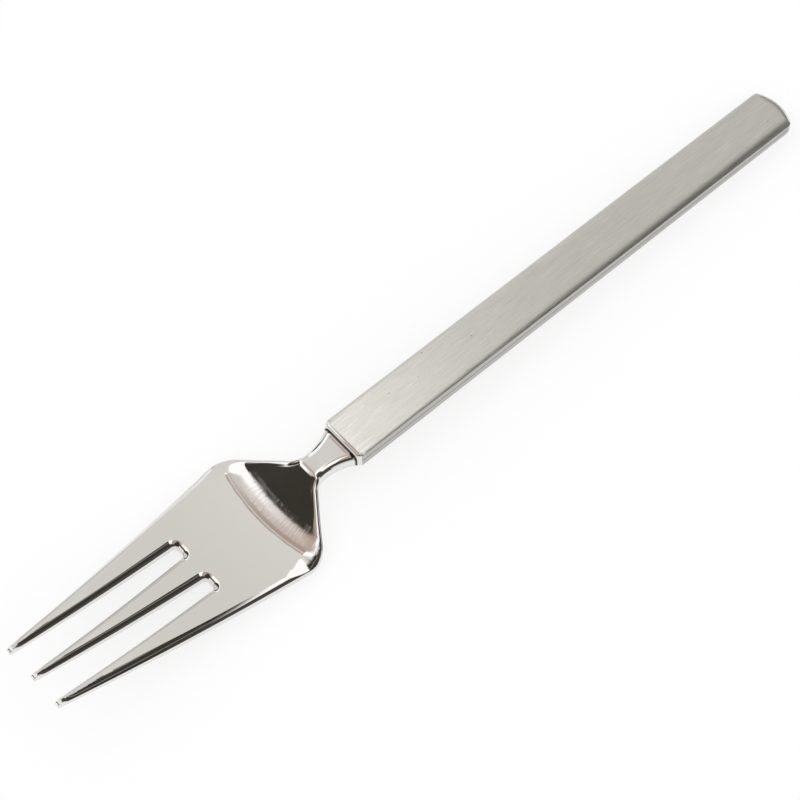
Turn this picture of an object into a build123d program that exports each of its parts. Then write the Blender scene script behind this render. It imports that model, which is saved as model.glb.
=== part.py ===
import os
from math import acos, cos, radians, sin, tan

from build123d import *

os.makedirs("parts", exist_ok=True)

# Pastry fork with a hollow handle, in mm.
# X runs from the tine tips to the butt, Y across, Z up from the table the fork lies on.
# The origin is on the table, under the middle of the fork.

# Overall sizes
overall_length = 151.0
handle_length = 92.7

# Tines
tine_length = 29.8
tip_width = 0.9
tip_flat_width = 0.06
tip_thickness = 1.25
tip_height = 8.89
outer_tip_offset = 5.45
centre_tine_root_width = 4.6
slot_root_width = 2.35
slot_corner_radius = 0.75

# Blade and shoulder
blade_thickness = 1.9
blade_angle = 4.5
blade_corner_width = 23.4
blade_corner_radius = 4.6
belly_setback = 16.0
belly_radius = 7.5
shoulder_rise_angle = 23.8
shoulder_plan_angle = 53.0
dish_radius = 35.0

# Neck
neck_top_height = 5.35
neck_thickness = 2.2
neck_width = 4.5
neck_straight_length = 0.05
neck_fillet_radius = 3.1
neck_flare_radius = 9.6
crest_radius = 2.0
throat_radius = 4.0
neck_root_length = 0.5
neck_root_rise = 0.2

# Tang
tang_length = 30.0
tang_thickness = 1.5
tang_root_width = 5.4
tang_end_width = 4.4
tang_notch_radius = 0.7
tang_notch_spacing = 7.0
tang_hole_diameter = 2.0
tang_clearance = 0.05

# Handle
handle_width = 8.0
mouth_step = 0.7
mouth_straight_length = 0.17
mouth_side_height = 3.0
butt_side_height = 2.2
mouth_crown_drop = 0.1
butt_crown_drop = 0.45
mouth_crown_reach = 0.7
butt_crown_reach = 1.4
butt_bulge = 1.2
butt_corner_radius = 1.2
shell_wall = 0.55
seam_thickness = 0.16

# Collar and cement
collar_length = 0.7
collar_edge_radius = 0.6
shell_edge_radius = 0.3
spigot_length = 2.5
spigot_clearance = 0.03
cement_beyond_tang = 2.0

# Construction: how far cutting profiles run past an end, and the part of an end that edge picks leave out
overrun = 1.0
end_margin = 0.05

# Stations along X
x_tip = -overall_length / 2
x_butt = overall_length / 2
x_joint = x_butt - handle_length
x_shell = x_joint + collar_length
x_spigot = x_shell + spigot_length
x_slot = x_tip + tine_length
x_belly = x_joint - belly_setback
x_dish = x_belly + dish_radius


def along_handle(x, at_mouth, at_butt):
    return at_mouth + (at_butt - at_mouth) * (x - x_joint) / handle_length


def crown_drop(x):
    return along_handle(x, mouth_crown_drop, butt_crown_drop)


def half_height(x):
    return along_handle(x, mouth_side_height, butt_side_height) / 2 + crown_drop(x)


# Middle line of the handle, from the middle of the neck down to where the butt rests on the table
neck_bottom_height = neck_top_height - neck_thickness
neck_middle = neck_top_height - neck_thickness / 2
x_rest = x_butt - butt_crown_reach
handle_fall = (neck_middle - half_height(x_rest)) / (x_rest - x_joint)
middle_plane = Plane(
    origin=(x_joint, 0, neck_middle),
    x_dir=(1, 0, -handle_fall),
    z_dir=(handle_fall, 0, 1),
)


def middle_height(x):
    return neck_middle - handle_fall * (x - x_joint)


# Side profile of the head. The blade, the belly and the rise to the neck touch each other smoothly.
belly_bottom_radius = belly_radius + blade_thickness
rise = radians(shoulder_rise_angle)
slope = radians(blade_angle)


def belly_point(radius, angle):
    return (x_belly + radius * sin(angle), belly_bottom_radius - radius * cos(angle))


def crest_point(radius, height):
    foot = belly_point(radius, rise)
    return (foot[0] + (height - foot[1]) / tan(rise), height)


def belly_arc(radius):
    return ThreePointArc(belly_point(radius, -slope), belly_point(radius, 0), belly_point(radius, rise))


# Dish of the head: the side profile turned about an upright axis, so the shoulder crest is curved in plan
upper_tip = (x_tip - overrun, tip_height)
lower_tip = (x_tip - overrun, tip_height - tip_thickness)
upper_crest = crest_point(belly_radius, neck_top_height)
lower_crest = crest_point(belly_bottom_radius, neck_bottom_height)
blade_direction = (-cos(slope), sin(slope))
with BuildPart() as head_dish:
    with BuildSketch(Plane.XZ) as band:
        with BuildLine():
            upper_belly = belly_arc(belly_radius)
            lower_belly = belly_arc(belly_bottom_radius)
            TangentArc(upper_belly @ 0, upper_tip, tangent=blade_direction)
            TangentArc(lower_belly @ 0, lower_tip, tangent=blade_direction)
            Line(lower_tip, upper_tip)
            Polyline(
                upper_belly @ 1,
                upper_crest,
                (x_joint + overrun, neck_top_height),
                (x_joint + overrun, neck_bottom_height),
                lower_crest,
                lower_belly @ 1,
            )
        make_face()
        fillet(band.vertices().sort_by_distance(upper_crest)[0], crest_radius)
        fillet(band.vertices().sort_by_distance(lower_crest)[0], throat_radius)
    revolve(axis=Axis((x_dish, 0, 0), (0, 0, 1)))

# Plan of the head: tines, slots, blade, shoulder and the neck that flares out to the handle
neck_end_width = handle_width - mouth_step
flare_angle = acos(1 - (neck_end_width - neck_width) / 2 / neck_flare_radius)
shoulder_plan = radians(shoulder_plan_angle)
x_flare = x_joint - neck_flare_radius * sin(flare_angle)
x_neck = x_flare - neck_straight_length - neck_fillet_radius * tan(shoulder_plan / 2)
x_corner = x_neck - (blade_corner_width - neck_width) / 2 / tan(shoulder_plan)
slot_inner = (x_slot, centre_tine_root_width / 2)
slot_outer = (x_slot, centre_tine_root_width / 2 + slot_root_width)
blade_corner = (x_corner, blade_corner_width / 2)
neck_corner = (x_neck, neck_width / 2)
with BuildPart() as head_plan:
    with BuildSketch() as plan:
        with BuildLine():
            Polyline(
                (x_joint, neck_end_width / 2),
                (x_joint, 0),
                (x_tip, 0),
                (x_tip, tip_width / 2),
                slot_inner,
                slot_outer,
                (x_tip, outer_tip_offset - tip_width / 2),
                (x_tip, outer_tip_offset + tip_width / 2),
                blade_corner,
                neck_corner,
                (x_flare, neck_width / 2),
            )
            TangentArc((x_flare, neck_width / 2), (x_joint, neck_end_width / 2), tangent=(1, 0))
        make_face()
        fillet(plan.vertices().sort_by_distance(slot_inner)[0], slot_corner_radius)
        fillet(plan.vertices().sort_by_distance(slot_outer)[0], slot_corner_radius)
        fillet(plan.vertices().sort_by_distance(blade_corner)[0], blade_corner_radius)
        fillet(plan.vertices().sort_by_distance(neck_corner)[0], neck_fillet_radius)
        mirror(about=Plane.XZ)
    extrude(amount=overall_length, both=True)

# Root of the neck: a small cove that lifts the polished faces to the collar
collar_front_thickness = neck_thickness + 2 * neck_root_rise
with BuildPart() as neck_root:
    with BuildSketch(Plane.XZ):
        with BuildLine():
            cove = TangentArc(
                (x_joint - neck_root_length, neck_top_height),
                (x_joint, neck_top_height + neck_root_rise),
                tangent=(1, 0),
            )
            sole = TangentArc(
                (x_joint - neck_root_length, neck_bottom_height),
                (x_joint, neck_bottom_height - neck_root_rise),
                tangent=(1, 0),
            )
            Line(cove @ 0, sole @ 0)
            Line(cove @ 1, sole @ 1)
        make_face()
    extrude(amount=neck_end_width, both=True)
    add(head_plan.part, mode=Mode.INTERSECT)

# Tang, on the middle plane of the handle, with two pairs of notches and a hole that key it in the cement
x_hole = tang_length - 2 * tang_hole_diameter
with BuildPart() as tang:
    with BuildSketch(middle_plane):
        with BuildLine():
            Polyline(
                (-neck_root_length, tang_root_width / 2),
                (tang_length, tang_end_width / 2),
                (tang_length, -tang_end_width / 2),
                (-neck_root_length, -tang_root_width / 2),
                close=True,
            )
        make_face()
        notch_row = [x_hole - tang_notch_spacing, x_hole - 2 * tang_notch_spacing]
        with Locations(*[(x, side * tang_root_width / 2) for x in notch_row for side in (1, -1)]):
            Circle(tang_notch_radius, mode=Mode.SUBTRACT)
        with Locations((x_hole, 0)):
            Circle(tang_hole_diameter / 2, mode=Mode.SUBTRACT)
    extrude(amount=tang_thickness / 2, both=True)

# Head forging, its rims rounded so that a narrow flat is left along the top of each tine tip
head_edge_radius = (tip_width - tip_flat_width) / 2
with BuildPart() as fork_head:
    add(head_plan.part)
    add(head_dish.part, mode=Mode.INTERSECT)
    add(neck_root.part)
    walls = fork_head.faces().filter_by(lambda face: abs(face.normal_at().Z) < 0.001)
    rims = walls.edges().filter_by(Axis.Z, reverse=True)
    fillet(rims.filter_by_position(Axis.X, x_tip + end_margin, x_joint - end_margin), head_edge_radius)
    add(tang.part)
fork_head.part.label = "fork_head"
export_step(fork_head.part, "parts/fork_head.step")

# Handle seen from above. The front corners carry on the flare of the neck.
x_mouth = x_joint + mouth_step / 2 / tan(flare_angle)
mouth_slant_length = mouth_step / 2 / sin(flare_angle)
mouth_corner_radius = (mouth_slant_length - mouth_straight_length) / tan(flare_angle / 2)


def handle_plan(inset):
    with BuildSketch() as plan:
        with BuildLine():
            side = Polyline(
                (x_joint - collar_length, neck_end_width / 2),
                (x_joint, neck_end_width / 2),
                (x_mouth, handle_width / 2),
                (x_butt - butt_bulge, handle_width / 2),
            )
            ThreePointArc(side @ 1, (x_butt, 0), (x_butt - butt_bulge, -handle_width / 2))
            mirror(side, about=Plane.XZ)
            Line(side @ 0, (x_joint - collar_length, -neck_end_width / 2))
        make_face()
        fillet(plan.vertices().group_by(Axis.X)[-1], butt_corner_radius)
        for half_width in (handle_width / 2, -handle_width / 2):
            fillet(plan.vertices().sort_by_distance((x_mouth, half_width))[0], mouth_corner_radius)
        if inset > 0:
            offset(amount=-inset)
    return plan.sketch


# Handle seen from the side, between its upper and lower faces
def handle_side(x_front, inset):
    ends = []
    for x in (x_front, x_butt + overrun):
        half = half_height(x) - inset
        ends += [(x, middle_height(x) + half), (x, middle_height(x) - half)]
    with BuildSketch(Plane.XZ) as side:
        with BuildLine():
            Polyline(ends[0], ends[2], ends[3], ends[1], close=True)
        make_face()
    return side.sketch


# Waste above and below the crowned rims. A rim falls away from the flat face on an arc that ends in an arris.
def rim_waste(plane, side, flat_end, direction, arris):
    with BuildSketch(plane) as waste:
        with BuildLine():
            TangentArc(flat_end, arris, tangent=direction)
            Polyline(
                arris,
                (arris[0] + overrun, arris[1]),
                (arris[0] + overrun, flat_end[1] + side * overrun),
                (flat_end[0], flat_end[1] + side * overrun),
                flat_end,
            )
        make_face()
    return waste.sketch


def face_height(x, side):
    return middle_height(x) + side * half_height(x)


def long_rim(x, side):
    rim_reach = along_handle(x, mouth_crown_reach, butt_crown_reach)
    flat_end = (handle_width / 2 - rim_reach, face_height(x, side))
    arris = (handle_width / 2, face_height(x, side) - side * crown_drop(x))
    return rim_waste(Plane.YZ.offset(x), side, flat_end, (1, 0), arris)


def butt_rim(side):
    flat_end = (x_rest, face_height(x_rest, side))
    arris = (x_butt, face_height(x_butt, side) - side * butt_crown_drop)
    direction = (butt_crown_reach, face_height(x_butt, side) - face_height(x_rest, side))
    return rim_waste(Plane.XZ, side, flat_end, direction, arris)


with BuildPart() as crown_waste:
    for side in (1, -1):
        loft([long_rim(x_joint, side), long_rim(x_butt + overrun, side)])
    mirror(about=Plane.XZ)
    for side in (1, -1):
        extrude(butt_rim(side), amount=handle_width, both=True)

# Outer body of the two shells
with BuildPart() as handle_body:
    extrude(handle_plan(0), amount=handle_length, both=True)
    extrude(handle_side(x_shell, 0), amount=handle_width, both=True, mode=Mode.INTERSECT)
    add(crown_waste.part, mode=Mode.SUBTRACT)
shell_front_width = handle_body.faces().sort_by(Axis.X)[0].bounding_box().size.Y

# Hollow inside the shells, open at the mouth
with BuildPart() as hollow:
    extrude(handle_plan(shell_wall), amount=handle_length, both=True)
    extrude(handle_side(x_joint, shell_wall), amount=handle_width, both=True, mode=Mode.INTERSECT)

upper_plane = middle_plane.offset(seam_thickness / 2)
lower_plane = middle_plane.offset(-seam_thickness / 2)

# Upper half shell
with BuildPart() as handle_upper_shell:
    add(handle_body.part)
    add(hollow.part, mode=Mode.SUBTRACT)
    split(bisect_by=upper_plane, keep=Keep.TOP)
handle_upper_shell.part.label = "handle_upper_shell"
export_step(handle_upper_shell.part, "parts/handle_upper_shell.step")

# Lower half shell
with BuildPart() as handle_lower_shell:
    add(handle_body.part)
    add(hollow.part, mode=Mode.SUBTRACT)
    split(bisect_by=lower_plane, keep=Keep.BOTTOM)
handle_lower_shell.part.label = "handle_lower_shell"
export_step(handle_lower_shell.part, "parts/handle_lower_shell.step")

# Braze between the half shells, along both sides and round the butt
with BuildPart() as seam_braze:
    add(handle_body.part)
    add(hollow.part, mode=Mode.SUBTRACT)
    split(bisect_by=upper_plane, keep=Keep.BOTTOM)
    split(bisect_by=lower_plane, keep=Keep.TOP)
seam_braze.part.label = "seam_braze"
export_step(seam_braze.part, "parts/seam_braze.step")

# Spigot of the collar, a loose fit in the mouth of the hollow
spigot_inset = shell_wall + spigot_clearance
with BuildPart() as spigot:
    extrude(handle_plan(spigot_inset), amount=handle_length, both=True)
    extrude(handle_side(x_joint, spigot_inset), amount=handle_width, both=True, mode=Mode.INTERSECT)
    split(bisect_by=Plane.YZ.offset(x_shell), keep=Keep.TOP)
    split(bisect_by=Plane.YZ.offset(x_spigot), keep=Keep.BOTTOM)

# Slot that lets the tang through the collar
with BuildPart() as tang_slot:
    with BuildSketch(middle_plane):
        Rectangle(2 * (x_spigot - x_joint + overrun), tang_root_width + 2 * tang_clearance)
    extrude(amount=tang_thickness / 2 + tang_clearance, both=True)

# Collar that closes the mouth: bevelled plate and a spigot inside the shells
with BuildPart() as mouth_collar:
    with BuildSketch(Plane.YZ.offset(x_joint)):
        with Locations((0, middle_height(x_joint))):
            RectangleRounded(neck_end_width, collar_front_thickness, collar_edge_radius)
    with BuildSketch(Plane.YZ.offset(x_shell)):
        with Locations((0, middle_height(x_shell))):
            RectangleRounded(shell_front_width, 2 * half_height(x_shell), shell_edge_radius)
    loft()
    add(spigot.part)
    add(tang_slot.part, mode=Mode.SUBTRACT)
mouth_collar.part.label = "mouth_collar"
export_step(mouth_collar.part, "parts/mouth_collar.step")

# Cement round the tang, from the spigot to a little beyond the end of the tang
x_cement = x_joint + tang_length + cement_beyond_tang
with BuildPart() as tang_cement:
    add(hollow.part)
    split(bisect_by=Plane.YZ.offset(x_spigot), keep=Keep.TOP)
    split(bisect_by=Plane.YZ.offset(x_cement), keep=Keep.BOTTOM)
    add(tang.part, mode=Mode.SUBTRACT)
tang_cement.part.label = "tang_cement"
export_step(tang_cement.part, "parts/tang_cement.step")
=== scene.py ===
from math import acos, asin, cos, radians, sin, sqrt, tan

import bpy
import numpy as np
from mathutils import Matrix, Vector
from mathutils.geometry import delaunay_2d_cdt


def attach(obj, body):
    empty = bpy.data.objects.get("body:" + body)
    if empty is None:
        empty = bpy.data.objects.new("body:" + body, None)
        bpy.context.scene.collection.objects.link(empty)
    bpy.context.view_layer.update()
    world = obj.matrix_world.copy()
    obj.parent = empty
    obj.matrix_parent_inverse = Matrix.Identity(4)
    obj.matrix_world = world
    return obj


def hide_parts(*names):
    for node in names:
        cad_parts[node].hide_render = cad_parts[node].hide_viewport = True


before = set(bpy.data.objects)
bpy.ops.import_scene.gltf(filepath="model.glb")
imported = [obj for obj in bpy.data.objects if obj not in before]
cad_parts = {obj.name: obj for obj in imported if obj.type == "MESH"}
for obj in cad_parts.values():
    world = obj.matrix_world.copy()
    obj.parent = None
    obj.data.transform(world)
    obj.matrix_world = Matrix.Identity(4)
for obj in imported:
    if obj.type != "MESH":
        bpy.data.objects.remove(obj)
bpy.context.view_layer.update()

scene = bpy.context.scene

# Sizes of the fork in mm, taken over from the CAD model. X runs from the tips to the butt, Z is up.
MM = 0.001
x_tip = -75.5
x_joint = -17.2
x_slot = -45.7
x_belly = -33.2
x_dish = 1.8
tip_width = 0.9
tip_height = 8.89
tip_thickness = 1.25
tip_overrun = 1.0
outer_tip_offset = 5.45
centre_tine_root_width = 4.6
slot_root_width = 2.35
slot_corner_radius = 0.75
blade_corner_width = 23.4
blade_corner_radius = 4.6
shoulder_plan = radians(53.0)
neck_width = 4.5
neck_end_width = 7.3
neck_straight_length = 0.05
neck_fillet_radius = 3.1
neck_flare_radius = 9.6
neck_top_height = 5.35
neck_bottom_height = 3.15
neck_root_length = 0.5
neck_root_rise = 0.2
belly_radius = 7.5
belly_bottom_radius = 9.4
slope = radians(4.5)
rise = radians(23.8)
throat_radius = 4.0
neck_middle = 4.25
collar_length = 0.7
collar_front_thickness = 2.6
collar_back_thickness = 3.2
collar_back_edge_radius = 0.3
handle_fall = 0.029565
handle_length = 92.7
handle_width = 8.0
mouth_corner_radius = 1.8
mouth_corner_x = -16.116
mouth_crown_reach = 0.7
butt_crown_reach = 1.4
butt_bulge = 1.2
butt_corner_radius = 1.2
shell_wall = 0.55
seam_thickness = 0.16

# Sizes that differ from the CAD model or have no name there: bevelled tips, a tighter crest, a rounder
# collar, a handle with lower sides and more crown, and the roof of its hollow
tip_bevel_length = 0.75
tip_bevel = radians(36.0)
crest_radius = 1.2
collar_front_edge_radius = 1.1
mouth_side_height = 2.86
butt_side_height = 1.94
mouth_crown_drop = 0.17
butt_crown_drop = 0.58
butt_side_crown_reach = 2.2
mouth_roof_height = 0.93
butt_roof_height = 0.55


# Node helpers
def new_material(name, kind="ShaderNodeBsdfPrincipled"):
    material = bpy.data.materials.new(name)
    material.use_nodes = True
    tree = material.node_tree
    tree.nodes.clear()
    output = tree.nodes.new("ShaderNodeOutputMaterial")
    shader = tree.nodes.new(kind)
    tree.links.new(shader.outputs[0], output.inputs["Surface"])
    return material, tree, shader


def node(tree, kind, inputs=None, **settings):
    made = tree.nodes.new(kind)
    for key, value in settings.items():
        setattr(made, key, value)
    for key, value in (inputs or {}).items():
        if isinstance(value, bpy.types.NodeSocket):
            tree.links.new(value, made.inputs[key])
        else:
            made.inputs[key].default_value = value
    return made


def calculated(tree, operation, first, second):
    return node(tree, "ShaderNodeMath", {0: first, 1: second}, operation=operation).outputs[0]


def faded(tree, value, start, end, low=0.0, high=1.0):
    made = node(
        tree, "ShaderNodeMapRange",
        {"Value": value, "From Min": start, "From Max": end, "To Min": low, "To Max": high},
    )
    return made.outputs["Result"]


def colour_mix(tree, share, first, second):
    made = node(tree, "ShaderNodeMix", {0: share, 6: first, 7: second}, data_type="RGBA")
    return made.outputs[2]


def object_position(tree, scale):
    place = node(tree, "ShaderNodeTexCoord")
    mapping = node(tree, "ShaderNodeMapping", {"Vector": place.outputs["Object"], "Scale": scale})
    return mapping.outputs["Vector"]


# Noise and the span that most of its values lie in
noise_span = (0.3, 0.7)


def noise(tree, density, size=1.0):
    place = object_position(tree, density)
    made = node(tree, "ShaderNodeTexNoise", {"Vector": place, "Scale": size, "Detail": 3.0})
    return made.outputs["Fac"]


def ranged(tree, value, low, high):
    return faded(tree, value, *noise_span, low, high)


# Plan outline of the head
def rounded_path(corners, step):
    points = []
    for index, (x, y, radius) in enumerate(corners):
        here = np.array((x, y))
        if radius == 0 or index in (0, len(corners) - 1):
            points.append(here)
            continue
        back = np.array(corners[index - 1][:2]) - here
        ahead = np.array(corners[index + 1][:2]) - here
        back /= np.linalg.norm(back)
        ahead /= np.linalg.norm(ahead)
        half = acos(np.clip(back @ ahead, -1, 1)) / 2
        reach = radius / tan(half)
        centre = here + (back + ahead) / np.linalg.norm(back + ahead) * radius / sin(half)
        start, end = here + back * reach - centre, here + ahead * reach - centre
        sweep = np.pi - 2 * half
        turn = np.sign(start[0] * end[1] - start[1] * end[0])
        count = max(4, int(np.ceil(sweep * radius / step)))
        for angle in np.linspace(0, sweep * turn, count + 1):
            spin = np.array(((cos(angle), -sin(angle)), (sin(angle), cos(angle))))
            points.append(centre + spin @ start)
    return np.array(points)


def evenly(points, step):
    dense = []
    for a, b in zip(points[:-1], points[1:]):
        count = max(1, int(np.ceil(np.linalg.norm(b - a) / step)))
        dense.extend(a + (b - a) * i / count for i in range(count))
    dense.append(points[-1])
    return np.array(dense)


flare_angle = acos(1 - (neck_end_width - neck_width) / 2 / neck_flare_radius)
x_flare = x_joint - neck_flare_radius * sin(flare_angle)
x_neck = x_flare - neck_straight_length - neck_fillet_radius * tan(shoulder_plan / 2)
x_corner = x_neck - (blade_corner_width - neck_width) / 2 / tan(shoulder_plan)
slot_inner = centre_tine_root_width / 2
slot_outer = slot_inner + slot_root_width
flare = [
    (x_flare + neck_flare_radius * sin(a), neck_width / 2 + neck_flare_radius * (1 - cos(a)), 0)
    for a in np.linspace(flare_angle, 0, 24)
]
outer_run = flare + [
    (x_neck, neck_width / 2, neck_fillet_radius),
    (x_corner, blade_corner_width / 2, blade_corner_radius),
    (x_tip, outer_tip_offset + tip_width / 2, 0),
]
slot_run = [
    (x_tip, outer_tip_offset - tip_width / 2, 0),
    (x_slot, slot_outer, slot_corner_radius),
    (x_slot, slot_inner, slot_corner_radius),
    (x_tip, tip_width / 2, 0),
]
arc_step = 0.1
outline_step = 0.22
left_runs = [evenly(rounded_path(run, arc_step), outline_step) for run in (outer_run, slot_run)]
right_runs = [(run * (1, -1))[::-1] for run in reversed(left_runs)]
runs = left_runs + right_runs


# Upper and lower faces of the head: profiles turned about the upright axis at x_dish.
# s is the place along a profile, with the zero of X.
def profile(s, radius, tip, neck, bend):
    foot = np.array((x_belly - radius * sin(slope), belly_bottom_radius - radius * cos(slope)))
    normal = np.array((sin(slope), cos(slope)))
    chord = np.array((x_tip - tip_overrun, tip)) - foot
    blade_radius = chord @ chord / (2 * chord @ normal)
    blade_centre = foot + blade_radius * normal
    side = np.sign(blade_radius)
    blade = blade_centre[1] - side * np.sqrt(np.maximum(blade_radius**2 - (s - blade_centre[0]) ** 2, 0))
    belly = belly_bottom_radius - np.sqrt(np.maximum(radius**2 - (s - x_belly) ** 2, 0))
    x_rise = x_belly + radius * sin(rise)
    z_rise = belly_bottom_radius - radius * cos(rise)
    ramp = z_rise + (s - x_rise) * tan(rise)
    reach = bend * tan(rise / 2)
    x_crest = x_rise + (neck - z_rise) / tan(rise)
    x_level = x_crest + reach
    crest = neck - bend + np.sqrt(np.maximum(bend**2 - (s - x_level) ** 2, 0))
    ends = (foot[0], x_rise, x_crest - reach * cos(rise), x_level)
    return np.select([s < end for end in ends], [blade, belly, ramp, crest], neck)


cove_radius = (neck_root_length**2 + neck_root_rise**2) / (2 * neck_root_rise)


def faces_at(x, y):
    s = x_dish - np.hypot(x - x_dish, y)
    into_cove = np.clip(x - (x_joint - neck_root_length), 0, neck_root_length)
    lift = cove_radius - np.sqrt(cove_radius**2 - into_cove**2)
    into_bevel = np.clip(x_tip + tip_bevel_length - x, 0, tip_bevel_length)
    bevel_drop = into_bevel * tan(tip_bevel)
    tip_bottom_height = tip_height - tip_thickness
    upper = profile(s, belly_radius, tip_height, neck_top_height, crest_radius)
    lower = profile(s, belly_bottom_radius, tip_bottom_height, neck_bottom_height, throat_radius)
    return upper + lift - bevel_drop, lower - lift


# Distance from points to the rounded sides, and the direction away from the nearest place on them
side_start = np.vstack([run[:-1] for run in runs])
side_run = np.vstack([run[1:] - run[:-1] for run in runs])
points_at_once = 1500


def away_from_sides(points):
    square = (side_run**2).sum(axis=1)
    distance, direction = [], []
    for chunk in np.array_split(points, max(1, len(points) // points_at_once)):
        offset = chunk[:, None, :] - side_start[None]
        t = np.clip((offset * side_run[None]).sum(axis=2) / square[None], 0, 1)
        gap = offset - t[:, :, None] * side_run[None]
        length = np.hypot(gap[:, :, 0], gap[:, :, 1])
        nearest = length.argmin(axis=1)
        rows = np.arange(len(chunk))
        distance.append(length[rows, nearest])
        direction.append(gap[rows, nearest])
    distance, direction = np.concatenate(distance), np.concatenate(direction)
    return distance, direction / np.maximum(distance, 1e-9)[:, None]


# Rounded sides: how wide they are, and how much of the round is left off where they meet the faces.
# Tines and blade keep a crisp arris, shoulder and neck are fully round.
tip_rim_width = 0.15
slot_rim_width = 0.8
tine_rim_width = 1.15
blade_rim_width = 0.92
neck_rim_width = 1.2
corner_rim_width = 2.7
arris_cut = 0.66
wall_start = 0.95
under_rounding = 0.2

# Spans over which the rims change: along the fork from the tip, along it from the blade's corner, and
# across it from the middle of a tine
tine_rim_length = 11.0
tip_rim_end = (0.6, 3.0)
corner_rim_start = (-6.0, -1.0)
corner_rim_end = (0.5, 4.0)
neck_rim_start = (-3.0, 3.0)
arris_end = (-4.0, 1.0)
outer_flank_start = (-0.2, 0.3)


def blend(x, start, end):
    t = np.clip((x - start) / (end - start), 0, 1)
    return t * t * (3 - 2 * t)


def blend_from(x, origin, span):
    return blend(x, origin + span[0], origin + span[1])


def tine_middle(x):
    along = x - x_tip
    inner_tip, outer_tip = outer_tip_offset - tip_width / 2, outer_tip_offset + tip_width / 2
    inner = inner_tip + (slot_outer - inner_tip) * along / (x_slot - x_tip)
    outer = outer_tip + (blade_corner_width / 2 - outer_tip) * along / (x_corner - x_tip)
    return (inner + outer) / 2


def rim_width(x, y):
    outer_flank = blend(np.abs(y) - tine_middle(x), *outer_flank_start)
    tine_width = slot_rim_width + (tine_rim_width - slot_rim_width) * outer_flank
    to_blade = blend(x, x_tip + tine_rim_length, x_slot)
    to_neck = blend_from(x, x_corner, neck_rim_start)
    at_corner = blend_from(x, x_corner, corner_rim_start) - blend_from(x, x_corner, corner_rim_end)
    at_tip = 1 - blend_from(x, x_tip, tip_rim_end)
    width = tine_width + (blade_rim_width - tine_width) * to_blade
    width = width + (neck_rim_width - blade_rim_width) * to_neck
    width = width + (corner_rim_width - neck_rim_width) * at_corner
    return width + (tip_rim_width - tine_width) * at_tip


def rim_cut(x):
    return arris_cut * (1 - blend_from(x, x_corner, arris_end))


# Head: a net of points in plan, dense along the rounded sides, lifted to the upper and lower faces.
# Rim levels are shares of the rim's width.
rim_levels = np.array(
    (0.002, 0.008, 0.02, 0.04, 0.07, 0.11, 0.16, 0.22, 0.29, 0.37, 0.46, 0.56, 0.67, 0.78, 0.89, 0.98, 1.01)
)
ring_closeness = 0.985
grid_step = 0.42
grid_margin = 0.15
end_margin = 0.05
middle_gap = 0.01


def inward_of(run):
    tangent = np.gradient(run, axis=0)
    tangent /= np.linalg.norm(tangent, axis=1)[:, None]
    return np.column_stack((-tangent[:, 1], tangent[:, 0]))


rings = []
for run in runs:
    inward = inward_of(run)
    for level in rim_levels:
        depth = level * rim_width(*run.T)
        ring = run + inward * depth[:, None]
        distance, direction = away_from_sides(ring)
        between_ends = (ring[:, 0] < x_joint - end_margin) & (ring[:, 0] > x_tip + end_margin)
        rings.append(ring[(distance > ring_closeness * depth) & between_ends])


def end_points(x, left, right):
    half_width = (left - right) / 2
    rim = rim_width(x, left)
    steps = [d for d in rim_levels * rim if d < half_width - middle_gap]
    steps += list(np.arange(rim + grid_step, half_width - grid_step / 2, grid_step))
    ys = [left - d for d in steps] + [(left + right) / 2] + [right + d for d in reversed(steps)]
    return np.array([(x, y) for y in ys])


loop, side_strips, end_strips = [], [], []
for index, run in enumerate(runs):
    following = runs[(index + 1) % len(runs)]
    at_neck = run[-1][1] < following[0][1]
    ends = sorted((run[-1][1], following[0][1]), reverse=True)
    flat_end = end_points(run[-1][0], *ends)
    start = sum(len(part) for part in loop)
    loop += [run, flat_end[::-1] if at_neck else flat_end]
    end_direction = (1, 0) if at_neck else (-1, 0)
    side_strips.append((start, -inward_of(run)))
    end_strips.append((start + len(run) - 1, np.tile(end_direction, (len(flat_end) + 2, 1))))
loop = np.vstack(loop)

xs = np.arange(x_tip, x_joint - 2 * end_margin, grid_step)
ys = np.arange(-blade_corner_width / 2, blade_corner_width / 2, grid_step)
grid = np.array([(x, y + (i % 2) * grid_step / 2) for i, x in enumerate(xs) for y in ys])
distance, direction = away_from_sides(grid)
crossings = np.zeros(len(grid), int)
for a, b in zip(loop, np.roll(loop, -1, axis=0)):
    if a[1] != b[1]:
        spans = (a[1] > grid[:, 1]) != (b[1] > grid[:, 1])
        at = a[0] + (grid[:, 1] - a[1]) * (b[0] - a[0]) / (b[1] - a[1])
        crossings += spans & (grid[:, 0] < at)
grid = grid[(crossings % 2 == 1) & (distance > rim_width(*grid.T) + grid_margin)]

# Points along the middle of each tine where its two rims meet, and across the bevels of the tips
ridge_x = np.arange(x_tip + 2 * end_margin, x_slot, outline_step)
ridge_y = tine_middle(ridge_x)
ridges = np.vstack([np.column_stack((ridge_x, y)) for y in (0 * ridge_x, ridge_y, -ridge_y)])
distance, direction = away_from_sides(ridges)
ridges = ridges[distance < rim_width(*ridges.T)]

bevel_rows = np.array((-0.4, -0.02, 0.02))
bevel_x = x_tip + tip_bevel_length + bevel_rows
bevel_y = (tip_width / 2 - tip_rim_width) * np.linspace(-1, 1, 5)
tine_centres = (-outer_tip_offset, 0, outer_tip_offset)
bevels = np.array([(x, centre + y) for x in bevel_x for centre in tine_centres for y in bevel_y])


# Triangles between the points of a net, and where each point of the net went
def triangulated(loop, others):
    points = [Vector(p) for p in np.vstack([loop] + others)]
    ring = [(i, (i + 1) % len(loop)) for i in range(len(loop))]
    made = delaunay_2d_cdt(points, ring, [], 1, 1e-5)
    place_of = {original: k for k, originals in enumerate(made[3]) for original in originals}
    return np.array([tuple(p) for p in made[0]]), [tuple(face) for face in made[2]], place_of


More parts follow.
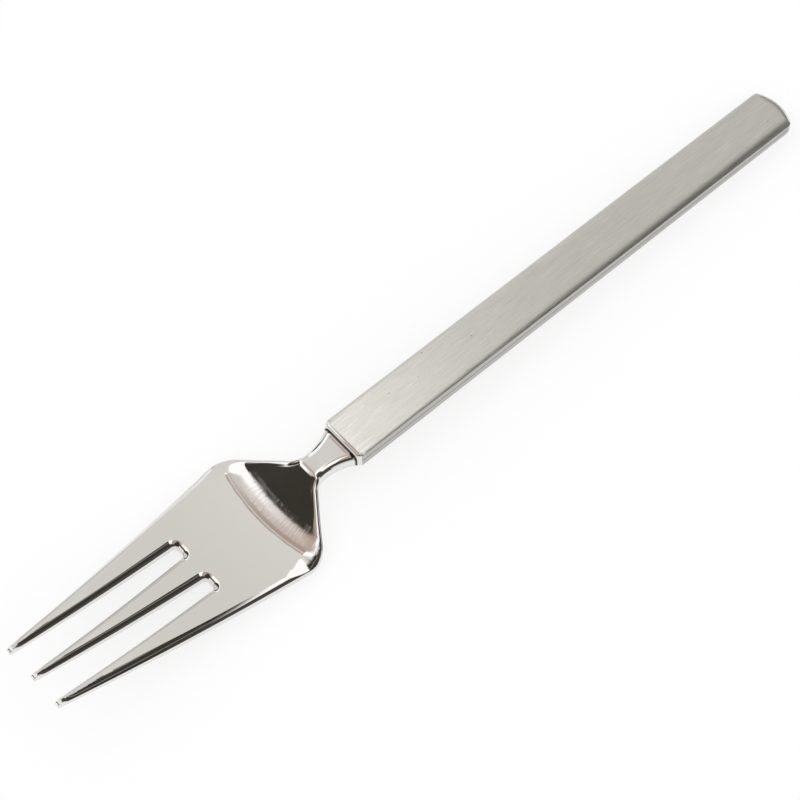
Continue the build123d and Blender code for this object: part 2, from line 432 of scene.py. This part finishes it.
flat, triangles, place_of = triangulated(loop, rings + [grid, ridges, bevels])


def points_of(strip):
    start, directions = strip
    return [place_of[(start + k) % len(loop)] for k in range(len(directions))]


distance, direction = away_from_sides(flat)
for strip in side_strips:
    direction[points_of(strip)] = -strip[1]
width, left_off = rim_width(*flat.T), rim_cut(flat[:, 0])
share = np.minimum(distance / width, 1)
round_part = left_off + (wall_start - left_off) * (1 - share)
round_height = np.sqrt(1 - left_off**2)
fullness = np.sqrt(np.maximum(1 - round_part**2, 0)) / round_height
upper, lower = faces_at(flat[:, 0], flat[:, 1])
middle, half_height = (upper + lower) / 2, (upper - lower) / 2
probe = 0.02
slopes = []
for dx, dy in ((probe, 0), (0, probe)):
    high = faces_at(flat[:, 0] + dx, flat[:, 1] + dy)
    low = faces_at(flat[:, 0] - dx, flat[:, 1] - dy)
    slopes.append([(high[k] - low[k]) / (2 * probe) for k in (0, 1)])
same_place = 0.001
on_ridge = np.array([np.abs(ridges - p).sum(axis=1).min() < same_place for p in flat])
lean = half_height * (wall_start - left_off) * round_part / round_height**2 / width
lean[on_ridge | (share >= 1)] = 0
weight = np.where(on_ridge, 1, fullness)


def shell(sign):
    rounding = 1 if sign > 0 else under_rounding
    full = 1 - rounding * (1 - fullness)
    height = middle + sign * half_height * full
    grade = [
        (above + below) / 2 + sign * full * (above - below) / 2
        for above, below in slopes
    ]
    normal = np.column_stack((
        sign * -weight * grade[0] - rounding * lean * direction[:, 0],
        sign * -weight * grade[1] - rounding * lean * direction[:, 1],
        sign * weight,
    ))
    return np.column_stack((flat, height)), normal / np.linalg.norm(normal, axis=1)[:, None]


top, top_normal = shell(1)
bottom, bottom_normal = shell(-1)
vertices, normals = [top, bottom], [top_normal, bottom_normal]
faces = triangles + [tuple(len(flat) + i for i in reversed(face)) for face in triangles]

# Upright walls of the sides, the tips and the end of the neck, with corners of their own
for strip in side_strips + end_strips:
    line = points_of(strip)
    first = sum(len(part) for part in vertices)
    sideways = np.column_stack((strip[1], np.zeros(len(line))))
    vertices += [top[line], bottom[line]]
    normals += [sideways, sideways]
    for upper_a in range(first, first + len(line) - 1):
        lower_a = upper_a + len(line)
        faces.append((upper_a, lower_a, lower_a + 1, upper_a + 1))


def add_mesh(name, vertices, faces, normals=None):
    mesh = bpy.data.meshes.new(name)
    mesh.from_pydata([tuple(v) for v in vertices], [], faces)
    mesh.validate()
    mesh.polygons.foreach_set("use_smooth", [True] * len(mesh.polygons))
    if normals is not None:
        mesh.normals_split_custom_set_from_vertices([tuple(n) for n in normals])
    made = bpy.data.objects.new(name, mesh)
    scene.collection.objects.link(made)
    return made


head = add_mesh("polished_head", np.vstack(vertices) * MM, faces, np.vstack(normals))
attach(head, "root")
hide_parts("fork_head")


def middle_height(x):
    return neck_middle - handle_fall * (x - x_joint)


# Collar: polished front edge of the handle, rounded over from the neck's end to the shells
def rounded_rectangle(half_width, half_height, radius, steps=8):
    points = []
    for quarter, (cy, cz) in enumerate(((1, 1), (-1, 1), (-1, -1), (1, -1))):
        for angle in np.linspace(quarter * np.pi / 2, (quarter + 1) * np.pi / 2, steps):
            points.append((
                cy * (half_width - radius) + radius * cos(angle),
                cz * (half_height - radius) + radius * sin(angle),
            ))
    return np.array(points)


def mouth_half_width(x):
    arc_run = np.clip(mouth_corner_x - x, 0, mouth_corner_radius * sin(flare_angle))
    on_arc = handle_width / 2 - mouth_corner_radius + sqrt(mouth_corner_radius**2 - arc_run**2)
    return on_arc - (max(mouth_corner_x - x, arc_run) - arc_run) * tan(flare_angle)


collar_rings = []
for turn in np.linspace(0, np.pi / 2, 13):
    x = x_joint + collar_length * (1 - cos(turn))
    grown = sin(turn)
    section = rounded_rectangle(
        mouth_half_width(x),
        (collar_front_thickness + (collar_back_thickness - collar_front_thickness) * grown) / 2,
        collar_front_edge_radius + (collar_back_edge_radius - collar_front_edge_radius) * grown,
    )
    collar_rings.append([(x, y, middle_height(x) + height) for y, height in section])
count = len(collar_rings[0])
collar_points = [point for ring in collar_rings for point in ring] + collar_rings[0] + collar_rings[-1]
collar_faces = [
    (k * count + i, k * count + (i + 1) % count, (k + 1) * count + (i + 1) % count, (k + 1) * count + i)
    for k in range(len(collar_rings) - 1)
    for i in range(count)
]
front_cap = len(collar_rings) * count
collar_faces.append(tuple(range(front_cap + count - 1, front_cap - 1, -1)))
collar_faces.append(tuple(range(front_cap + count, front_cap + 2 * count)))
collar = add_mesh("polished_collar", np.array(collar_points) * MM, collar_faces)
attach(collar, "root")
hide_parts("mouth_collar")

# Plan outline of the handle, from the collar round the butt and back
x_shell = x_joint + collar_length
x_butt = x_joint + handle_length
butt_radius = (handle_width**2 / 4 + butt_bulge**2) / (2 * butt_bulge)
butt_centre_x = x_butt - butt_radius
corner_y = handle_width / 2 - butt_corner_radius
corner_x = butt_centre_x + sqrt((butt_radius - butt_corner_radius) ** 2 - corner_y**2)
corner_turn = asin(corner_y / (butt_radius - butt_corner_radius))
station_step = 1.5
station_x = np.concatenate((np.arange(x_shell + 1, corner_x - 1, station_step), [corner_x]))
half_plan = [(x, mouth_half_width(x)) for x in np.linspace(x_shell, mouth_corner_x, 6)]
half_plan += [(x, handle_width / 2) for x in station_x[:-1]]
half_plan += [
    (corner_x + butt_corner_radius * sin(a), corner_y + butt_corner_radius * cos(a))
    for a in np.linspace(0, np.pi / 2 - corner_turn, 20)
]
half_plan += [
    (butt_centre_x + butt_radius * cos(a), butt_radius * sin(a))
    for a in np.linspace(corner_turn, 0, 24)[1:]
]
half_plan = np.array(half_plan)
handle_plan = np.vstack((half_plan, (half_plan * (1, -1))[-2::-1]))
handle_plan = np.vstack((handle_plan, evenly(handle_plan[[-1, 0]], 1.0)[1:-1]))[::-1]


# Height of a shell's outer face above the middle of the handle. Its rims fall away ever more steeply,
# and they drop deeper towards the butt.
mouth_half_height = mouth_side_height / 2 + mouth_crown_drop
butt_half_height = butt_side_height / 2 + butt_crown_drop
crown_deepening = 1.6


def along_handle(x, at_mouth, at_butt, power=1):
    return at_mouth + (at_butt - at_mouth) * ((x - x_joint) / handle_length) ** power


def fall_away(run, reach, drop):
    return drop * (np.clip(run, 0, reach) / reach) ** 3


def shell_height(x, y):
    drop = along_handle(x, mouth_crown_drop, butt_crown_drop, crown_deepening)
    reach = along_handle(x, mouth_crown_reach, butt_side_crown_reach)
    side_fall = fall_away(np.abs(y) - (handle_width / 2 - reach), reach, drop)
    from_butt = butt_radius - np.hypot(np.maximum(x - butt_centre_x, 0), y)
    butt_fall = fall_away(butt_crown_reach - from_butt, butt_crown_reach, butt_crown_drop)
    return along_handle(x, mouth_half_height, butt_half_height) - np.maximum(side_fall, butt_fall)


# Net of points over the handle: rows along the crowned sides, closer together at the butt.
# Crown levels are shares of the crown's reach.
crown_levels = np.concatenate((np.linspace(0.04, 1.0, 14), (1.05, 1.4)))
edge_margin = 0.03
butt_margin = 0.02
handle_net = []
for x in np.concatenate((station_x, np.linspace(corner_x, x_butt - butt_margin, 24)[1:])):
    reach = along_handle(x, mouth_crown_reach, butt_side_crown_reach)
    rows = np.concatenate(([0], handle_width / 2 - reach * crown_levels))
    handle_net += [(x, y) for y in rows] + [(x, -y) for y in rows[1:]]
handle_net = np.array(handle_net)
net_x, net_y = handle_net.T
past_corner = net_x > corner_x
butt_gap = np.where(past_corner, butt_radius - np.hypot(net_x - butt_centre_x, net_y), 1)
corner_gap = butt_corner_radius - np.hypot(net_x - corner_x, np.abs(net_y) - corner_y)
off_corner = past_corner & (np.abs(net_y) > corner_y) & (corner_gap < edge_margin)
handle_net = handle_net[(butt_gap > edge_margin) & ~off_corner]


# A half shell: its outer face, the outer wall down to the seam, the seam, the inner wall and the flat roof
def handle_shell(name, node_name, side):
    seam = side * seam_thickness / 2
    loop = handle_plan
    count = len(loop)
    tangent = np.roll(loop, -1, axis=0) - np.roll(loop, 1, axis=0)
    outward = np.column_stack((tangent[:, 1], -tangent[:, 0])) / np.linalg.norm(tangent, axis=1)[:, None]
    inner = loop - outward * shell_wall
    face_plan, face_triangles, _ = triangulated(loop, [handle_net])
    probe = 0.004
    x, y = face_plan.T
    grade_x = (shell_height(x + probe, y) - shell_height(x - probe, y)) / (2 * probe)
    grade_y = (shell_height(x, y + probe) - shell_height(x, y - probe)) / (2 * probe)
    face_normal = np.column_stack((side * handle_fall - grade_x, -grade_y, np.ones(len(x))))
    face_normal /= np.linalg.norm(face_normal, axis=1)[:, None]
    face_normal[:, 2] *= side
    vertices = [np.column_stack((face_plan, middle_height(x) + side * shell_height(x, y)))]
    normals = [face_normal]
    faces = [face if side > 0 else face[::-1] for face in face_triangles]

    def ring_at(plan, height, facing):
        start = sum(len(part) for part in vertices)
        vertices.append(np.column_stack((plan, height)))
        normals.append(facing)
        return start

    def band(first, second):
        for i in range(count):
            j = (i + 1) % count
            quad = (first + i, second + i, second + j, first + j)
            faces.append(quad if side > 0 else quad[::-1])

    sideways = np.column_stack((outward, np.zeros(count)))
    upright = np.tile((0, 0, -side), (count, 1))
    outer_seam, inner_seam = (middle_height(plan[:, 0]) + seam for plan in (loop, inner))
    outer_top = middle_height(loop[:, 0]) + side * shell_height(loop[:, 0], loop[:, 1])
    roof = side * along_handle(inner[:, 0], mouth_roof_height, butt_roof_height)
    inner_top = middle_height(inner[:, 0]) + roof
    band(ring_at(loop, outer_top, sideways), ring_at(loop, outer_seam, sideways))
    band(ring_at(loop, outer_seam, upright), ring_at(inner, inner_seam, upright))
    band(ring_at(inner, inner_seam, -sideways), ring_at(inner, inner_top, -sideways))
    _, roof_triangles, _ = triangulated(inner, [])
    start = ring_at(inner, inner_top, upright)
    faces += [tuple(start + i for i in (face[::-1] if side > 0 else face)) for face in roof_triangles]
    made = add_mesh(name, np.vstack(vertices) * MM, faces, np.vstack(normals))
    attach(made, "root")
    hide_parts(node_name)
    return made


upper_shell = handle_shell("satin_upper_shell", "handle_upper_shell", 1)
lower_shell = handle_shell("satin_lower_shell", "handle_lower_shell", -1)

# Polished steel: a mirror with faint cloudiness
polished_colour = (0.80, 0.785, 0.76, 1)
polished_roughness = (0.03, 0.07)
cloud_density, cloud_size = (1, 3, 1), 900


def polished_material(name):
    material, tree, shader = new_material(name)
    shader.inputs["Base Color"].default_value = polished_colour
    shader.inputs["Metallic"].default_value = 1
    roughness = ranged(tree, noise(tree, cloud_density, cloud_size), *polished_roughness)
    tree.links.new(roughness, shader.inputs["Roughness"])
    return material, tree, shader


# Head: fine marks of the polishing wheel round the shoulder, between two distances from the dish's axis
# and fading out towards the far side
mark_density = (260, 500, 1)
mark_depth, mark_strength = 0.04 * MM, 0.45
belly_start, belly_end, belly_fade = 34.3 * MM, 31.4 * MM, 0.3 * MM
clean_from, marked_from = 7 * MM, 4 * MM
polished, tree, shader = polished_material("polished_steel")
place = node(tree, "ShaderNodeTexCoord")
from_dish = node(
    tree, "ShaderNodeVectorMath",
    {0: place.outputs["Object"], 1: (x_dish * MM, 0, 0)},
    operation="SUBTRACT",
)
dish_place = node(tree, "ShaderNodeSeparateXYZ", {0: from_dish.outputs[0]})
dish_x, dish_y = dish_place.outputs["X"], dish_place.outputs["Y"]
turn = calculated(tree, "DIVIDE", dish_y, dish_x)
flat_place = node(tree, "ShaderNodeCombineXYZ", {"X": dish_x, "Y": dish_y})
dish_length = node(tree, "ShaderNodeVectorMath", {0: flat_place.outputs[0]}, operation="LENGTH")
dish_distance = dish_length.outputs["Value"]
mark_place = node(tree, "ShaderNodeCombineXYZ", {"X": turn, "Y": dish_distance})
mark_scale = node(tree, "ShaderNodeMapping", {"Vector": mark_place.outputs[0], "Scale": mark_density})
marks = node(tree, "ShaderNodeTexNoise", {"Vector": mark_scale.outputs[0], "Scale": 1.0, "Detail": 2.0})
within_start = faded(tree, dish_distance, belly_start + belly_fade, belly_start)
within_end = faded(tree, dish_distance, belly_end - belly_fade, belly_end)
within = calculated(tree, "MULTIPLY", within_start, within_end)
marked = calculated(tree, "MULTIPLY", within, faded(tree, dish_y, clean_from, marked_from))
level_marks = calculated(tree, "SUBTRACT", marks.outputs["Fac"], 0.5)
mark_height = calculated(tree, "MULTIPLY", marked, level_marks)
bump = node(
    tree, "ShaderNodeBump",
    {"Strength": mark_strength, "Distance": mark_depth, "Height": mark_height},
)
tree.links.new(bump.outputs["Normal"], shader.inputs["Normal"])

# Painted shade in the cove where the neck meets the collar: a dark colour that stands in for the shadow in
# the gap between them
painted_shade_start, painted_shade_full = (x_joint - 0.38) * MM, (x_joint - 0.22) * MM
painted_shade_colour = (0.05, 0.045, 0.04, 1)
own_place = node(tree, "ShaderNodeSeparateXYZ", {0: place.outputs["Object"]})
cove_painted_shade = faded(tree, own_place.outputs["X"], painted_shade_start, painted_shade_full)
tree.links.new(colour_mix(tree, cove_painted_shade, polished_colour, painted_shade_colour), shader.inputs["Base Color"])
head.data.materials.append(polished)

# Collar: the same polish without marks
collar_steel, tree, shader = polished_material("polished_collar")
collar.data.materials.append(collar_steel)

# Satin steel: fine brushing along the handle, small dark pits, and painted shade that makes the upright
# sides darker
brush_density = (40, 5000, 5000)
fine_brush_density = (90, 9000, 9000)
brush_dark, brush_light = (0.67, 0.66, 0.622, 1), (0.79, 0.78, 0.74, 1)
brush_depth, brush_strength = 0.02 * MM, 0.15
satin_roughness = (0.27, 0.35)
pit_density = (420, 420, 420)
pit_edge, pit_end, pit_strength = 0.03, 0.06, 0.6
pit_dark = (0.12, 0.11, 0.10, 1)
painted_flank_shade_start, painted_flank_shade_full = 0.7, 0.3
painted_flank_shade_colour = (0.56, 0.55, 0.52, 1)
brushing = (1, 0, 0.02)
satin, tree, shader = new_material("satin_steel")
shader.inputs["Metallic"].default_value = 1
shader.inputs["Anisotropic"].default_value = 0.88
surface = node(tree, "ShaderNodeNewGeometry")
across_brushing = node(
    tree, "ShaderNodeVectorMath",
    {0: surface.outputs["Normal"], 1: brushing},
    operation="CROSS_PRODUCT",
)
tree.links.new(across_brushing.outputs[0], shader.inputs["Tangent"])
strokes = noise(tree, brush_density)
tree.links.new(ranged(tree, strokes, *satin_roughness), shader.inputs["Roughness"])
tint = node(tree, "ShaderNodeValToRGB", {"Fac": noise(tree, fine_brush_density)})
for element, position, colour in zip(tint.color_ramp.elements, noise_span, (brush_dark, brush_light)):
    element.position = position
    element.color = colour
pit_place = object_position(tree, pit_density)
pit_distance = node(tree, "ShaderNodeTexVoronoi", {"Vector": pit_place, "Scale": 1.0})
pitted = faded(tree, pit_distance.outputs["Distance"], pit_edge, pit_end, pit_strength, 0.0)
pit_colour = colour_mix(tree, pitted, tint.outputs["Color"], pit_dark)
# Painted shade: where the surface faces sideways rather than up, its colour turns darker
surface_parts = node(tree, "ShaderNodeSeparateXYZ", {0: surface.outputs["Normal"]})
facing_up = node(tree, "ShaderNodeMath", {0: surface_parts.outputs["Z"]}, operation="ABSOLUTE")
painted_flank_shade = faded(tree, facing_up.outputs[0], painted_flank_shade_start, painted_flank_shade_full)
tree.links.new(colour_mix(tree, painted_flank_shade, pit_colour, painted_flank_shade_colour), shader.inputs["Base Color"])
bump = node(tree, "ShaderNodeBump", {"Strength": brush_strength, "Distance": brush_depth, "Height": strokes})
tree.links.new(bump.outputs["Normal"], shader.inputs["Normal"])
for half_shell in (upper_shell, lower_shell):
    half_shell.data.materials.append(satin)


def dress(name, material):
    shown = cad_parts[name]
    shown.data.materials.clear()
    shown.data.materials.append(material)


# Braze in the seam: brushed flush with the shells, much darker
braze_roughness = (0.35, 0.5)
braze, tree, shader = new_material("braze")
shader.inputs["Base Color"].default_value = (0.08, 0.075, 0.07, 1)
shader.inputs["Metallic"].default_value = 1
tree.links.new(ranged(tree, noise(tree, brush_density), *braze_roughness), shader.inputs["Roughness"])
dress("seam_braze", braze)

# Cement inside the handle
cement_roughness = (0.8, 0.95)
grain_density, grain_size = (1, 1, 1), 1500
cement, tree, shader = new_material("cement")
shader.inputs["Base Color"].default_value = (0.42, 0.40, 0.36, 1)
grain = noise(tree, grain_density, grain_size)
tree.links.new(ranged(tree, grain, *cement_roughness), shader.inputs["Roughness"])
dress("tang_cement", cement)

# Camera at the photo's viewing angle
elevation = radians(62.16)
heading = radians(41.855)
distance_to_target = 0.455615
target = Vector((-0.004014, 0.001575, 0))
forward = Vector((sin(heading) * cos(elevation), cos(heading) * cos(elevation), -sin(elevation)))
right = Vector((cos(heading), -sin(heading), 0))
up = right.cross(forward)
camera_data = bpy.data.cameras.new("camera")
camera_data.sensor_width = 36
camera_data.lens = 135
camera_data.clip_start = 0.01
camera = bpy.data.objects.new("camera", camera_data)
scene.collection.objects.link(camera)
camera.matrix_world = Matrix((
    (right.x, up.x, -forward.x, 0),
    (right.y, up.y, -forward.y, 0),
    (right.z, up.z, -forward.z, 0),
    (0, 0, 0, 1),
))
camera.location = target - forward * distance_to_target
scene.camera = camera

# Floor: its colour and its glow add up to white where the light is full, and the shadow stays soft
floor_colour = (0.3, 0.3, 0.3, 1)
floor_glow = 0.7
floor_reach = 3
floor_corners = [(floor_reach * x, floor_reach * y, 0) for x, y in ((-1, -1), (1, -1), (1, 1), (-1, 1))]
floor = add_mesh("floor", floor_corners, [(0, 1, 2, 3)])
floor_material, tree, shader = new_material("floor")
path = node(tree, "ShaderNodeLightPath")
seen = path.outputs["Is Camera Ray"]
for ray in ("Is Glossy Ray", "Is Transmission Ray"):
    seen = calculated(tree, "MAXIMUM", seen, path.outputs[ray])
glow = calculated(tree, "MULTIPLY", seen, floor_glow)
shader.inputs["Base Color"].default_value = floor_colour
shader.inputs["Roughness"].default_value = 1
shader.inputs["Specular IOR Level"].default_value = 0
tree.links.new(glow, shader.inputs["Emission Strength"])
shader.inputs["Emission Color"].default_value = (1, 1, 1, 1)
floor.data.materials.append(floor_material)

# Even white light from all sides
world = bpy.data.worlds.new("world")
scene.world = world
world.use_nodes = True
world.node_tree.nodes["Background"].inputs["Color"].default_value = (1, 1, 1, 1)
world.node_tree.nodes["Background"].inputs["Strength"].default_value = 1

# Studio that the metal mirrors: a dome round the fork, seen in reflections alone
dome_radius = 1.0
rings_of_dome, sides_of_dome = 48, 96
dome_points = []
for k in range(rings_of_dome + 1):
    polar = np.pi * k / rings_of_dome
    for i in range(sides_of_dome):
        around = 2 * np.pi * i / sides_of_dome
        dome_points.append((sin(polar) * cos(around), sin(polar) * sin(around), cos(polar)))
dome_faces = [
    (k * sides_of_dome + i, k * sides_of_dome + (i + 1) % sides_of_dome,
     (k + 1) * sides_of_dome + (i + 1) % sides_of_dome, (k + 1) * sides_of_dome + i)
    for k in range(rings_of_dome)
    for i in range(sides_of_dome)
]
dome = add_mesh("studio", np.array(dome_points) * dome_radius, dome_faces)
dome.visible_camera = False
dome.visible_diffuse = False
dome.visible_transmission = False
dome.visible_shadow = False

studio, studio_tree, studio_light = new_material("studio", "ShaderNodeEmission")
place = node(studio_tree, "ShaderNodeTexCoord")
unit = node(studio_tree, "ShaderNodeVectorMath", {0: place.outputs["Object"]}, operation="NORMALIZE")
heading_of = node(studio_tree, "ShaderNodeSeparateXYZ", {0: unit.outputs[0]})
along_fork, across_fork, upward = (heading_of.outputs[axis] for axis in "XYZ")


# Helpers for the studio's colours. A step is 0 before its start, 1 past its end and smooth between.
def step(value, start, end):
    made = node(
        studio_tree, "ShaderNodeMapRange",
        {"Value": value, "From Min": start, "From Max": end},
        interpolation_type="SMOOTHSTEP",
    )
    return made.outputs["Result"]


def ramp_over(value, stops):
    ramp = node(studio_tree, "ShaderNodeValToRGB", {"Fac": faded(studio_tree, value, -1, 1)})
    elements = ramp.color_ramp.elements
    while len(elements) < len(stops):
        elements.new(0.5)
    for element, (where, colour) in zip(elements, stops):
        element.position = (where + 1) / 2
        element.color = (*colour, 1)
    return ramp.outputs["Color"]


def mixed(share, first, second):
    return colour_mix(studio_tree, share, first, second)


def maths(operation, first, second):
    return calculated(studio_tree, operation, first, second)


def product(first, *others):
    for other in others:
        first = maths("MULTIPLY", first, other)
    return first


def largest(first, *others):
    for other in others:
        first = maths("MAXIMUM", first, other)
    return first


def past(value, limit):
    return maths("MAXIMUM", maths("SUBTRACT", value, limit), 0.0)


def short_of(value, limit):
    return maths("MAXIMUM", maths("SUBTRACT", limit, value), 0.0)


# Colours of the studio
white = (1.25, 1.25, 1.25)
pale = (1.05, 1.04, 1.03)
bright = (3.5, 3.5, 3.46)
neutral = (0.79, 0.78, 0.77)
face_light = (0.83, 0.82, 0.79)
handle_light = (0.76, 0.75, 0.725)
handle_glow = (0.88, 0.87, 0.845)
warm_grey = (0.74, 0.71, 0.68)
soft_grey = (0.60, 0.59, 0.57)
light_pink = (0.68, 0.60, 0.56)
pink = (0.57, 0.46, 0.40)
deep_pink = (0.48, 0.38, 0.33)
dusk = (0.20, 0.20, 0.19)
gleam = (0.26, 0.25, 0.24)
low_dark = (0.085, 0.08, 0.075)
dark = (0.045, 0.041, 0.034)

# Hangings over the fork, from behind the tips to past the butt, in four strips from the near side to
# the far side
behind_tips = [(-1.0, pale), (-0.64, pale), (-0.60, dark), (-0.462, dark)]
over_neck = [(0.252, neutral), (0.273, neutral)]
over_handle = [(0.40, handle_light), (0.455, handle_light), (0.50, handle_glow), (0.60, handle_light)]
over_handle += [(1.0, dusk)]
near_strip = [(-1.0, dark), (-0.475, dark), (-0.45, deep_pink), (-0.35, pink), (0.12, pink), (0.26, neutral)]
near_strip += [(0.29, white), (0.335, white), (0.375, face_light)] + over_handle
pink_strip = behind_tips + [(-0.45, deep_pink), (-0.38, light_pink), (-0.08, light_pink), (0.14, deep_pink)]
pink_strip += [(0.24, deep_pink)] + over_neck + [(0.285, deep_pink), (0.322, deep_pink), (0.345, face_light)]
pink_strip += over_handle
grey_strip = behind_tips + [(-0.447, white), (-0.22, white), (-0.10, warm_grey), (0.24, warm_grey)]
grey_strip += over_neck + [(0.285, light_pink), (0.322, light_pink), (0.345, face_light)] + over_handle
far_strip = [(-1.0, dark), (-0.462, dark), (-0.447, white), (0.10, white), (0.27, neutral), (0.40, neutral)]
far_strip += [(0.56, soft_grey), (1.0, dusk)]

# Their front edges bend towards the handle at the near and far ends
bend_far = product(past(across_fork, 0.46), 1.4)
bend_near = product(short_of(across_fork, 0.21), 1.25)
bend = product(maths("ADD", bend_far, bend_near), step(along_fork, 0.28, 0.20))
along_strip = maths("SUBTRACT", along_fork, bend)
sky = ramp_over(along_strip, near_strip)
sky = mixed(step(across_fork, 0.18, 0.26), sky, ramp_over(along_strip, pink_strip))
sky = mixed(step(across_fork, 0.345, 0.405), sky, ramp_over(along_strip, grey_strip))
sky = mixed(step(across_fork, 0.42, 0.48), sky, ramp_over(along_strip, far_strip))

# Pink wall low on the near side
wall = product(
    step(along_strip, -0.44, -0.50),
    step(along_fork, -0.30, -0.20),
    step(across_fork, 0.0, -0.10),
)
sky = mixed(wall, sky, (*deep_pink, 1))

# White paper over the shoulder, beside the neck and beside the blade
shoulder_paper = product(
    step(along_strip, -0.460, -0.447),
    step(along_strip, -0.16, -0.24),
    step(across_fork, 0.325, 0.350),
)
paper_end = step(along_fork, 0.36, 0.33)
neck_paper = product(step(along_fork, 0.235, 0.255), paper_end, step(across_fork, 0.325, 0.285))
blade_paper = product(step(along_fork, 0.03, 0.07), paper_end, step(across_fork, -0.02, -0.12))
sky = mixed(largest(shoulder_paper, neck_paper, blade_paper), sky, (*white, 1))

# Two bright cards that light the front of the handle
far_card = product(step(across_fork, 0.39, 0.40), step(across_fork, 0.47, 0.45))
near_card = product(step(across_fork, 0.02, 0.08), step(across_fork, 0.335, 0.325))
card_width = product(step(along_fork, 0.285, 0.292), step(along_fork, 0.335, 0.328))
sky = mixed(product(maths("ADD", far_card, near_card), card_width), sky, (*bright, 1))

# Dark room beyond the near side, with a faint gleam in it, and a slightly darker edge on the far side
far_darkness = 0.25
darkness = ramp_over(upward, [
    (-1.0, low_dark), (0.55, low_dark), (0.70, dark),
    (0.815, dark), (0.83, gleam), (0.84, gleam), (0.855, dark), (1.0, dark),
])
above_floor = step(upward, 0.0, 0.06)
blade_edge = maths("SUBTRACT", along_fork, product(across_fork, 0.12))
handle_edge = maths("ADD", across_fork, product(past(along_fork, 0.45), 2.5))
beside_neck = product(step(across_fork, -0.50, -0.62), above_floor)
beside_blade = product(step(across_fork, 0.0, -0.16), step(blade_edge, 0.335, 0.365), above_floor)
beside_handle = product(
    step(handle_edge, 0.22, 0.0),
    step(along_fork, 0.40, 0.46),
    step(upward, 0.05, 0.15),
)
far_side = product(step(across_fork, 0.85, 0.91), step(along_fork, 0.36, 0.33), above_floor, far_darkness)
sky = mixed(largest(beside_neck, beside_blade, beside_handle, far_side), sky, darkness)

# Soft light low down, round the front half on both sides and past the butt on the near side
far_front = product(step(along_fork, 0.12, -0.04), step(across_fork, 0.0, 0.10))
near_front = step(along_fork, -0.42, -0.55)
near_horizon = product(step(along_fork, 0.12, 0.06), step(upward, 0.40, 0.32))
past_butt = product(
    step(along_fork, 0.55, 0.62),
    step(along_fork, 0.80, 0.74),
    step(across_fork, -0.25, -0.40),
)
low_down = step(upward, 0.62, 0.45)
soft_light = product(largest(far_front, near_front, near_horizon, past_butt), low_down)
sky = mixed(soft_light, sky, (*neutral, 1))
studio_tree.links.new(sky, studio_light.inputs["Color"])
dome.data.materials.append(studio)

scene.view_settings.view_transform = "Standard"
